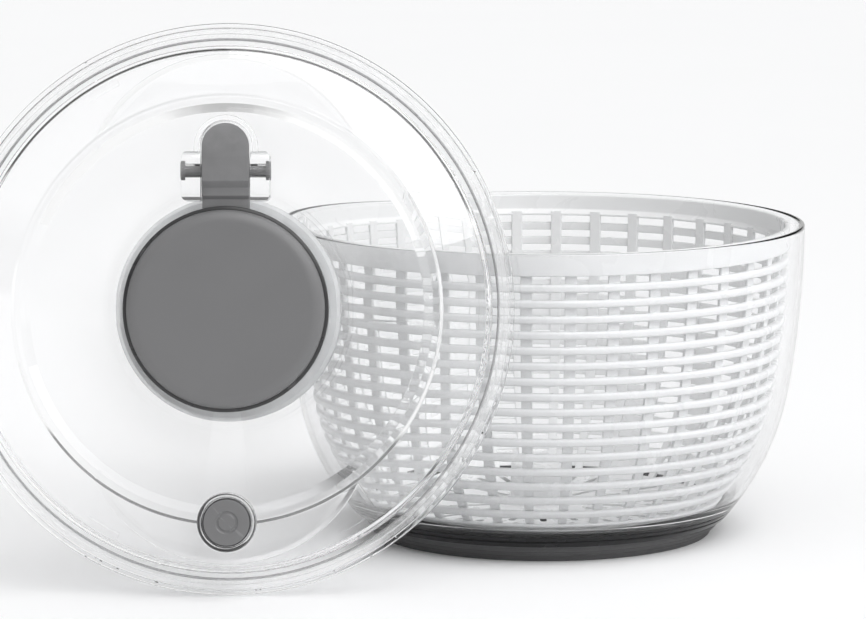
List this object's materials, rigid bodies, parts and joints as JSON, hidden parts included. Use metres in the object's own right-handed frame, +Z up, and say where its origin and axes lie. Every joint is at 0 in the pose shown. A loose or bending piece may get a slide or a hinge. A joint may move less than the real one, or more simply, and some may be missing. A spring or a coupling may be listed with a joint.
{
  "type": "salad spinner",
  "caption": "Clear salad spinner bowl with a slotted white basket and a clear press-lever lid standing beside it on its edge.",
  "frame": {"origin": "centre of the bowl's foot, on the surface it stands on", "axes": "+Z up along the bowl's axis, +X to the right along the object's longest side, -Y towards the front, where the lid stands"},
  "size_m": [0.3957, 0.303, 0.253],
  "materials": {
    "clear_plastic": "clear, polished",
    "frosted_plastic": "clear with a light frost",
    "clear_silicone": "translucent satin",
    "white_plastic": "satin white",
    "pale_plastic": "translucent pale",
    "dark_gloss_plastic": "polished near black",
    "grip_rubber": "matte dark grey",
    "brake_rubber": "matte",
    "grey_plastic": "satin mid grey",
    "acetal": "satin natural",
    "steel": "plain",
    "spring_steel": "drawn wire"
  },
  "bodies": {
    "bowl": {"outer_bowl": "clear_plastic", "base_ring": "dark_gloss_plastic", "grip_foot": "grip_rubber"},
    "pivot": {"pivot_bearing": "acetal"},
    "basket": {"basket": "white_plastic"},
    "lid": {"lid_shell": "clear_plastic", "lid_gasket": "clear_silicone", "hinge_pin": "grey_plastic", "pin_cap": "grey_plastic", "button_collar": "clear_plastic", "mechanism_housing": "pale_plastic", "housing_screws": "steel", "housing_cover": "pale_plastic", "cover_screws": "steel"},
    "lever": {"press_pad": "grey_plastic", "lever_arm": "grey_plastic", "pad_screws": "steel"},
    "plunger": {"plunger": "grey_plastic", "drive_nut": "acetal", "return_spring": "spring_steel"},
    "spindle": {"spindle": "acetal", "pawl_wheel": "acetal", "disc_washer": "steel", "disc_screw": "steel"},
    "disc": {"drive_disc": "frosted_plastic", "ratchet_ring": "acetal", "disc_bush": "acetal"},
    "brake": {"brake_button": "grey_plastic", "brake_stem": "grey_plastic", "brake_shoe": "brake_rubber", "brake_spring": "spring_steel"}
  },
  "joints": [
    {"name": "basket_lift", "type": "slide", "parent": "bowl", "child": "pivot", "axis": [0, 0, 1], "range_m": [0, 0.19]},
    {"name": "basket_spin", "type": "hinge", "parent": "pivot", "child": "basket", "pos_m": [0, 0, 0.02], "axis": [0, 0, 1], "continuous": true},
    {"name": "lid_lift", "type": "slide", "parent": "bowl", "child": "lid", "axis": [0, 0, 1], "range_m": [0, 0.15]},
    {"name": "lever_swing", "type": "hinge", "parent": "lid", "child": "lever", "pos_m": [-0.1433, -0.15699, 0.19054], "axis": [-1, 0, 0], "range_deg": [0, 22]},
    {"name": "plunger_slide", "type": "slide", "parent": "lid", "child": "plunger", "axis": [0, -0.9898, 0.1425], "range_m": [0, 0.0221], "deforming": ["return_spring"]},
    {"name": "spindle_turn", "type": "hinge", "parent": "lid", "child": "spindle", "pos_m": [-0.1433, -0.1429, 0.12698], "axis": [0, -0.9898, 0.1425], "range_deg": [-331, 1]},
    {"name": "disc_freewheel", "type": "hinge", "parent": "spindle", "child": "disc", "pos_m": [-0.1433, -0.10628, 0.12171], "axis": [0, -0.9898, 0.1425], "continuous": true},
    {"name": "brake_press", "type": "slide", "parent": "lid", "child": "brake", "axis": [0, 0.9898, -0.1425], "range_m": [0, 0.003], "stiffness_N_per_m": 400, "springref_m": -0.002, "deforming": ["brake_spring"]}
  ],
  "couplings": [
    {"joint": "plunger_slide", "follows": "lever_swing", "m_per_rad": 0.057296},
    {"joint": "spindle_turn", "follows": "lever_swing", "ratio": -15}
  ]
}
